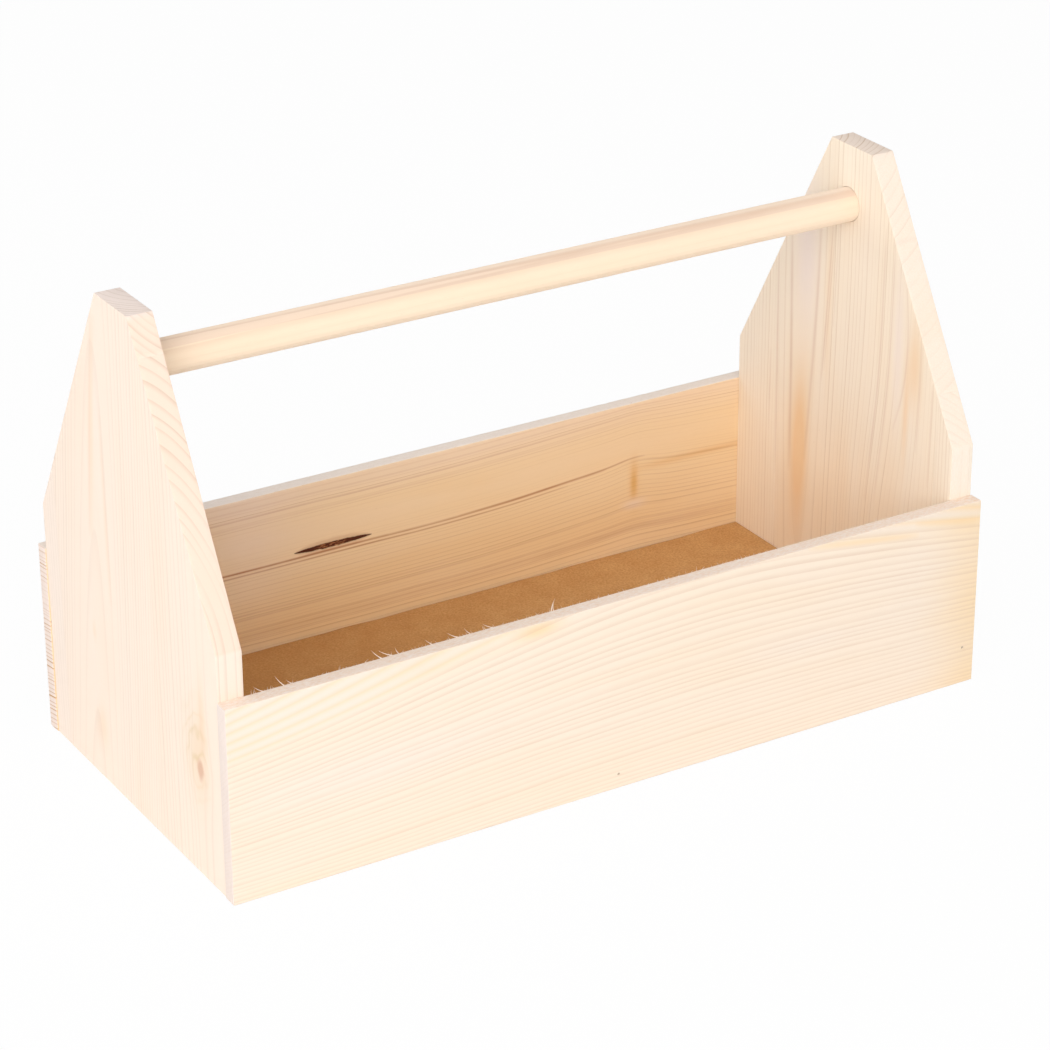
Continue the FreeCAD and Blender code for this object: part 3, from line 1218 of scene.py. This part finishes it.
RIGHT_STAVES = {
    "front_stave": stave("right_front", RIGHT_SLANTED, Rings(-190, 214, 2.8), contrast=0.45,
                         edge_contrast=0.25, sawn=0.4),
    "middle_stave": stave(
        "right_middle", RIGHT_SLANTED,
        Rings(43.5, 217.6, 3.7, middle=150, half_length=100, drift_deep=(1.9, -0.6), phase=0.02,
              wobble=1.2, calm=30, calm_width=11, late_depth=1.5,
              bends=(Spot(60, -40, 90, 40, 14),)),
        contrast=0.5, edge_contrast=0.25, sawn=0.4, choosy=0.85,
        amber=(Spot(100, 45, 50, 9), Spot(198, -74, 28, 7, 0.7), Spot(165, -67, 30, 3, 0.5),
               Spot(215, 17, 55, 4, 0.3), Spot(75, 0, 60, 90, 0.35)),
        cool=(Spot(240, 43, 50, 12, 0.9), Spot(205, -57, 45, 5, 0.6)),
        plain=(Spot(190, 44, 80, 9, 0.95), Spot(185, 26, 60, 4, 0.8),
               Spot(200, -58, 55, 6, 0.95), Spot(195, -74, 35, 6, 0.95)),
        dark_years=(Vein(165, 56.5, 86, 1.6, 0.2, lean=2, bow=1),
                    Vein(178, 31.5, 86, 1.6, 0.17, lean=-5.5, bow=1.5),
                    Vein(210, 18.5, 55, 0.8, 0.22, lean=-3.5),
                    Vein(215, 16.0, 52, 0.6, 0.16, lean=-3.5),
                    Vein(232, 10.0, 36, 0.6, 0.14, lean=-1), Vein(185, -40.0, 95, 0.9, 0.2),
                    Vein(190, -50.0, 98, 0.8, 0.18),
                    Vein(200, -67.0, 52, 0.9, 0.15, lean=-2, bow=6.5),
                    Vein(180, -81.0, 38, 0.8, 0.14), Vein(160, -93.5, 36, 0.8, 0.14))),
    "back_stave": stave("right_back", RIGHT_TONES, Rings(200, 214, 3.2), contrast=0.42,
                        dark_years=(Vein(150, 72.0, 80, 1.1, 0.2, lean=1.5),
                                    Vein(130, 79.5, 30, 0.8, 0.12))),
}


# ---- pieces ---------------------------------------------------------------------------------


@dataclass(frozen=True)
class Splinter:
    """One long splinter on an arris.

    Attributes:
        along: its foot along the arris, in mm.
        length: its length in mm.
        thickness: its foot's half thickness in mm.
        lean: how far it leans along the arris, in degrees from upright.
        outward: how far it leans off the board, in degrees.
    """

    along: float
    length: float
    thickness: float
    lean: float
    outward: float


SPLINTERS = (Splinter(-232, 6.0, 0.3, -78, 35), Splinter(-219, 7.5, 0.32, -50, 40),
             Splinter(-214, 4.0, 0.24, -70, 30), Splinter(-168, 4.0, 0.24, 60, 30),
             Splinter(-157, 7.5, 0.36, -62, 40), Splinter(-150, 8.5, 0.36, -80, 30),
             Splinter(-146, 4.0, 0.26, -40, 35), Splinter(-124, 5.0, 0.28, -70, 35),
             Splinter(-107, 7.0, 0.34, -80, 30), Splinter(-99, 5.0, 0.28, -60, 40),
             Splinter(-84, 6.5, 0.3, -80, 30), Splinter(-45, 8.5, 0.36, 30, 30),
             Splinter(-43.5, 5.0, 0.28, 8, 35), Splinter(60, 3.5, 0.2, 60, 30))


@dataclass
class LongBoard:
    """The front or the back board, with what stands on its inner top arris.

    Attributes:
        node: the CAD node that it stands for.
        wood: its finish.
        outward: 1 if its outer face looks towards +Y, else -1.
        seed: where its noise starts.
        open_brads: the along and across places of the brads whose heads show, in mm.
        splinters: its long splinters.
        hollow: a shallow pocket in its inner face, its amount being its depth in mm.
        fuzz_count, fuzz_margin: how many torn fibres its saw fuzz has, and how far from its
            ends they stay, in mm.
        fuzz_foot, splinter_foot: how far below the top edge and behind the inner face the
            feet of fibres and of splinters are, in mm.
        brad_hole_radius, hole_margin: the radius of the holes over its brads' heads, and how
            far the drill runs past each face, in mm.
        half_length, faces, height: half its length, its two faces in depth, and its top edge.
    """

    node: str
    wood: Pine
    outward: int
    seed: int
    open_brads: Sequence[tuple[float, float]]
    splinters: Sequence[Splinter] = ()
    hollow: Spot | None = None
    fuzz_count: int = 420
    fuzz_margin: float = 18.0
    fuzz_foot: tuple[float, float] = (0.3, 0.35)
    splinter_foot: tuple[float, float] = (0.4, 0.3)
    brad_hole_radius: float = 0.92
    hole_margin: float = 0.5
    half_length: float = field(init=False)
    faces: tuple[float, float] = field(init=False)
    height: float = field(init=False)

    def __post_init__(self) -> None:
        """Take the board's sizes from its CAD node."""
        self.half_length = node_range(self.node, 0)[1]
        self.faces = node_range(self.node, 1)
        self.height = node_range(self.node, 2)[1]

    @property
    def inner_face(self) -> float:
        """The depth of the face that looks into the tote."""
        return self.faces[0] if self.outward > 0 else self.faces[1]

    def within(self, along: float, across: float, inset: float) -> Vector:
        """A place in the frame, so many mm behind the inner face."""
        return Grain.LENGTHWISE.place(along, across, self.inner_face + inset * self.outward)

    def relief(self, along: float, across: float, deep: float) -> float:
        """How deep the pocket in the inner face is at a point."""
        if self.hollow is None or abs(deep - self.inner_face) > 0.5:
            return 0.0
        far = (along - self.hollow.along) / self.hollow.half_length
        aside = (across - self.hollow.across) / self.hollow.half_width
        return self.hollow.amount * max(0.0, 1.0 - far * far - aside * aside)

    def build(self, trees: Mapping[str, Growth]) -> None:
        """Make the board, its saw fuzz and its splinters."""
        finish = self.wood.build()
        piece = SawnPiece(
            name=f"{self.node}_wood", grain=Grain.LENGTHWISE, deep=self.faces,
            stations=spaced(-self.half_length, self.half_length, 3.0),
            sides=lambda along: (0.0, self.height, True, True), seed=self.seed, step=2.1,
            relief=self.relief).build()
        thickness = self.faces[1] - self.faces[0]
        drill(piece, [(self.within(along, across, thickness + self.hole_margin),
                       self.within(along, across, -self.hole_margin))
                      for along, across in self.open_brads], self.brad_hole_radius, sides=14)
        finished(piece, finish, self.wood.slot, self.node)
        self.fuzz(trees["fuzz"], finish)
        if self.splinters:
            self.long_splinters(trees["splinters"], finish)

    def fuzz(self, tree: Growth, finish: bpy.types.Material) -> None:
        """Grow the torn fibres."""
        reach = self.half_length - self.fuzz_margin
        below, behind = self.fuzz_foot
        ends = [self.within(end, self.height - below, behind) for end in (-reach, reach)]
        piece = plain(f"{self.node}_saw_fuzz", ends, edges=[(0, 1)])
        tree.grow(piece, finish, count=self.fuzz_count, seed=self.seed, shortest=0.3 * MM,
                  longest=3.0 * MM, thickness=0.12 * MM, spread=1.5 * MM,
                  outward=0.9 * self.outward)
        finished(piece, finish, self.wood.slot)

    def long_splinters(self, tree: Growth, finish: bpy.types.Material) -> None:
        """Stand the long splinters."""
        below, behind = self.splinter_foot
        feet = [self.within(one.along, self.height - below, behind) for one in self.splinters]
        piece = plain(f"{self.node}_splinters", feet)
        turns = [(math.radians(one.outward) * self.outward, math.radians(one.lean), 0.0)
                 for one in self.splinters]
        sizes = [(one.thickness * MM, one.thickness * MM, one.length * MM)
                 for one in self.splinters]
        for attribute, rows in (("turn", turns), ("size", sizes)):
            layer = piece.data.attributes.new(attribute, "FLOAT_VECTOR", "POINT")
            layer.data.foreach_set("vector", [value for row in rows for value in row])
        tree.grow(piece, finish)
        finished(piece, finish, self.wood.slot)


@dataclass
class EndPanel:
    """One end panel, glued up from three upright staves.

    Attributes:
        end: its side of the tote, as its CAD nodes are named.
        woods: the finish of each stave by name.
        front_shoulder: where its sloping front edge starts, in mm above the ground.
        seed: where its noise starts.
        back_shoulder: where its sloping back edge starts.
        peak_width, peak_shift: the flat at its top, and how far that sits off the middle.
        rod_height: the middle of the rod's hole above the ground.
        rod_hole_radius, rod_hole_depth: that hole's radius, and its depth from the inner face.
        hole_margin: how far the drill starts outside that face.
        arris: the radius of its arrises.
        half_width: half its width at the ground.
        top: its height.
    """

    end: str
    woods: Mapping[str, Pine]
    front_shoulder: float
    seed: int
    back_shoulder: float = 155.0
    peak_width: float = 42.0
    peak_shift: float = -1.3
    rod_height: float = 283.5
    rod_hole_radius: float = 11.3
    rod_hole_depth: float = 10.0
    hole_margin: float = 1.0
    arris: float = 0.12
    half_width: float = field(init=False)
    top: float = field(init=False)

    def __post_init__(self) -> None:
        """Take the panel's sizes from its CAD nodes."""
        self.half_width = -node_range(f"{self.end}_panel_front_stave", 1)[0]
        self.top = node_range(f"{self.end}_panel_middle_stave", 2)[1]

    def edge(self, side: int, height: float) -> float:
        """The free edge of the whole panel at a height: front for side -1, back for 1."""
        shoulder = self.front_shoulder if side < 0 else self.back_shoulder
        peak = self.peak_shift + side * self.peak_width / 2
        share = max(0.0, (height - shoulder) / (self.top - shoulder))
        return side * self.half_width + (peak - side * self.half_width) * share

    def build(self) -> None:
        """Make and dress the three staves."""
        for number, (name, wood) in enumerate(self.woods.items()):
            self.stave(f"{self.end}_panel_{name}", wood, self.seed + number)

    def stave(self, node: str, wood: Pine, seed: int) -> None:
        """Make one stave.

        Args:
            node: the CAD node that it stands for.
            wood: its finish.
            seed: where its noise starts.
        """
        glue_low, glue_high = node_range(node, 1)
        in_middle = node.endswith("middle_stave")

        def sides(height: float) -> Sides:
            """The stave's limits at a height, and whether they are free edges."""
            front, back = self.edge(-1, height), self.edge(1, height)
            low = max(glue_low, front)
            return (low, max(min(glue_high, back), low + LEAST_WIDTH),
                    front >= glue_low - SAME_PLACE, back <= glue_high + SAME_PLACE)

        shoulders = [self.front_shoulder, self.back_shoulder]
        piece = SawnPiece(name=f"{node}_wood", grain=Grain.UPRIGHT, deep=node_range(node, 0),
                          stations=spaced(0.0, node_range(node, 2)[1], 3.0, shoulders),
                          sides=sides, seed=seed, arris=self.arris,
                          blunt_ends=(True, in_middle)).build()
        if in_middle:
            near, far = node_range(node, 0)
            inner, inward = (far, 1) if near < 0 else (near, -1)
            mouth, bottom = (Grain.UPRIGHT.place(self.rod_height, 0.0, inner + inward * reach)
                             for reach in (self.hole_margin, -self.rod_hole_depth))
            drill(piece, [(mouth, bottom)], self.rod_hole_radius, sides=72)
        finished(piece, wood.build(), wood.slot, node)


@dataclass
class Handle:
    """The round rod between the end panels.

    Attributes:
        wood: its finish.
        node: the CAD node that it stands for.
        flats, flatness: how many faint flats the plane left on it, and how far they are
            sunk, as a part of its radius.
        chamfer: the chamfer at its ends, in mm.
        sides, parts: how many sides its section has, and how many lengths it is drawn in.
    """

    wood: Pine = ROD_PINE
    node: str = "handle_rod"
    flats: int = 8
    flatness: float = 0.015
    chamfer: float = 0.8
    sides: int = 96
    parts: int = 254

    def build(self, tree: Growth) -> None:
        """Grow the rod and dress it."""
        low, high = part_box(self.node)
        finish = self.wood.build()
        piece = plain(f"{self.node}_wood")
        tree.grow(piece, finish, radius=(high.z - low.z) / 2, half_length=high.x,
                  height=(high.z + low.z) / 2, flatness=self.flatness,
                  chamfer=self.chamfer * MM, flats=self.flats, sides=self.sides,
                  parts=self.parts)
        finished(piece, finish, self.wood.slot, self.node)


@dataclass
class Floor:
    """The fibreboard base of the tote, its long edges a little ragged.

    Attributes:
        finish: its finish.
        node: the CAD node that it stands for.
        wear: how far its long edges are worn back, in mm.
        raggedness, rag_length: how unevenly they are worn, and over what length, in mm.
    """

    finish: Fibreboard = Fibreboard()
    node: str = "base_panel"
    wear: float = 0.7
    raggedness: float = 1.1
    rag_length: float = 24.0

    def build(self) -> None:
        """Make the base and dress it."""
        length, depth, height = (node_range(self.node, axis) for axis in range(3))
        piece = SawnPiece(name=f"{self.node}_board", grain=Grain.LENGTHWISE, deep=depth,
                          stations=spaced(*length, 4.0), step=4.0, arris=0.3, waver=0.05,
                          sides=lambda along: (*height, True, True), seed=61,
                          relief=self.ragged).build()
        finished(piece, self.finish.build(), self.finish.slot, self.node)

    def ragged(self, along: float, across: float, deep: float) -> float:
        """How far the long edges are worn back at a point."""
        rags = noise.noise(Vector((along / self.rag_length, deep, across / 30)))
        return self.wear + self.raggedness * rags


def dress_brads() -> None:
    """Give the brads their steel."""
    steel = BradSteel().build()
    for name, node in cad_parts.items():
        if name.endswith("_brads"):
            dress(node, steel)
            log.info("%s: dressed in %s", name, steel.name)


# ---- studio ---------------------------------------------------------------------------------


def hung(name: str, data: bpy.types.ID, place: Place, target: Place) -> bpy.types.Object:
    """A lamp or camera at a place, turned to look at a target."""
    holder = new_object(name, data)
    holder.location = place
    aim = Vector(target) - Vector(place)
    holder.rotation_euler = aim.to_track_quat("-Z", "Y").to_euler()
    return holder


@dataclass(frozen=True)
class Softbox:
    """A soft lamp.

    Attributes:
        name: its name.
        place: where it hangs, in metres.
        size: its width and height in metres.
        power: its power in watts.
    """

    name: str
    place: Place
    size: tuple[float, float]
    power: float

    def build(self, target: Place) -> None:
        """Hang the lamp and aim it."""
        lamp = bpy.data.lights.new(self.name, "AREA")
        lamp.shape = "RECTANGLE"
        lamp.size, lamp.size_y = self.size
        lamp.energy = self.power
        hung(self.name, lamp, self.place, target).visible_camera = False


SOFTBOXES = (
    Softbox("key", (-1.9, -2.4, 1.6), (2.6, 2.2), 55.8),
    Softbox("high", (-1.4, -1.9, 2.4), (2.0, 2.0), 8.29),
    Softbox("front", (0.3, -3.0, 1.3), (2.4, 2.0), 5.4),
    Softbox("right", (1.9, -2.4, 1.5), (2.0, 2.0), 10),
    Softbox("left", (-3.1, -0.6, 1.0), (2.0, 2.0), 12.7),
    Softbox("rear", (-2.6, 1.8, 1.5), (2.0, 2.0), 16.6),
    Softbox("bounce", (-0.7, -1.5, 0.12), (2.0, 0.9), 1.36),
    Softbox("top", (0.0, -0.3, 2.8), (2.4, 2.4), 8.78),
)


@dataclass(frozen=True)
class Studio:
    """The white sweep, the lamps and the camera.

    Attributes:
        softboxes: the lamps.
        ambient: the brightness of the room.
        floor_white: how much of the floor's white is its own, so that it shows no edge.
        floor_half: half the floor's width, in metres.
        camera_place: where the camera stands, in metres.
        target: what the camera and the lamps look at.
        camera_roll: how far the camera leans, in radians.
        lens: its focal length in mm.
    """

    softboxes: Sequence[Softbox] = SOFTBOXES
    ambient: float = 0.375
    floor_white: float = 0.965
    floor_half: float = 14.0
    camera_place: Place = (-0.98015, -1.64678, 1.02676)
    target: Place = (-0.003055, -0.01694, 0.13)
    camera_roll: float = -0.006
    lens: float = 118.82

    def build(self) -> None:
        """Set up everything round the tote."""
        bpy.context.scene.view_settings.view_transform = "Standard"
        for softbox in self.softboxes:
            softbox.build(self.target)
        self.world()
        self.floor()
        self.camera()

    def seen(self, shader: Shader) -> Sock:
        """1 where the camera, a mirror or glass looks, and 0 for light that spreads."""
        camera, glossy, clear = (shader.node("ShaderNodeLightPath", output=f"Is {kind} Ray")
                                 for kind in ("Camera", "Glossy", "Transmission"))
        return camera.most(glossy).most(clear)

    def world(self) -> None:
        """A white room that lights the tote less than it shows."""
        world = bpy.data.worlds.new("white_room")
        bpy.context.scene.world = world
        shader = Shader(world)
        strength = self.seen(shader) * (1.0 - self.ambient) + self.ambient
        shader.lead(shader.node("ShaderNodeBackground", inputs={
            "Color": (1, 1, 1, 1), "Strength": strength}), "World")

    def floor(self) -> None:
        """A wide white floor that keeps a faint shadow."""
        shader = Shader(bpy.data.materials.new("white_sweep"))
        paper = shader.node("ShaderNodeBsdfDiffuse", inputs={"Color": (0.9, 0.9, 0.9, 1)})
        glow = shader.node("ShaderNodeEmission", inputs={"Color": (1, 1, 1, 1), "Strength": 1.0})
        share = self.seen(shader) * self.floor_white
        shader.lead(shader.node("ShaderNodeMixShader", inputs={0: share, 1: paper, 2: glow}),
                    "Material")
        half = self.floor_half
        corners = [(-half, -half, 0), (half, -half, 0), (half, half, 0), (-half, half, 0)]
        sweep = plain("white_sweep", corners, faces=[(0, 1, 2, 3)])
        dress(sweep, shader.owner)

    def camera(self) -> None:
        """The camera, a little above the tote, at its left front."""
        camera = bpy.data.cameras.new("view")
        camera.lens = self.lens
        camera.sensor_width = 36.0
        camera.clip_end = 60.0
        holder = hung("view", camera, self.camera_place, self.target)
        holder.rotation_euler.rotate_axis("Z", self.camera_roll)
        bpy.context.scene.camera = holder


def main() -> None:
    """Build the tote's looks and the studio round it."""
    logging.basicConfig(level=logging.INFO, format="%(name)s: %(message)s")
    trees = {"fuzz": fuzz_tree(), "splinters": splinter_tree(), "rod": rod_tree()}
    LongBoard("front_board", FRONT_PINE, outward=-1, seed=3, splinters=SPLINTERS,
              open_brads=((-4.0, 9.5), (252.0, 25.0))).build(trees)
    LongBoard("back_board", BACK_PINE, outward=1, seed=4, fuzz_count=160,
              open_brads=((-4.0, 9.5), (-252.0, 34.0), (252.0, 64.0)),
              hollow=Spot(-65.5, 79, 27, 2.0, 0.6)).build(trees)
    EndPanel("left", LEFT_STAVES, front_shoulder=153.0, seed=20).build()
    EndPanel("right", RIGHT_STAVES, front_shoulder=159.0, seed=30).build()
    Handle().build(trees["rod"])
    Floor().build()
    dress_brads()
    Studio().build()


if __name__ == "__main__":
    main()
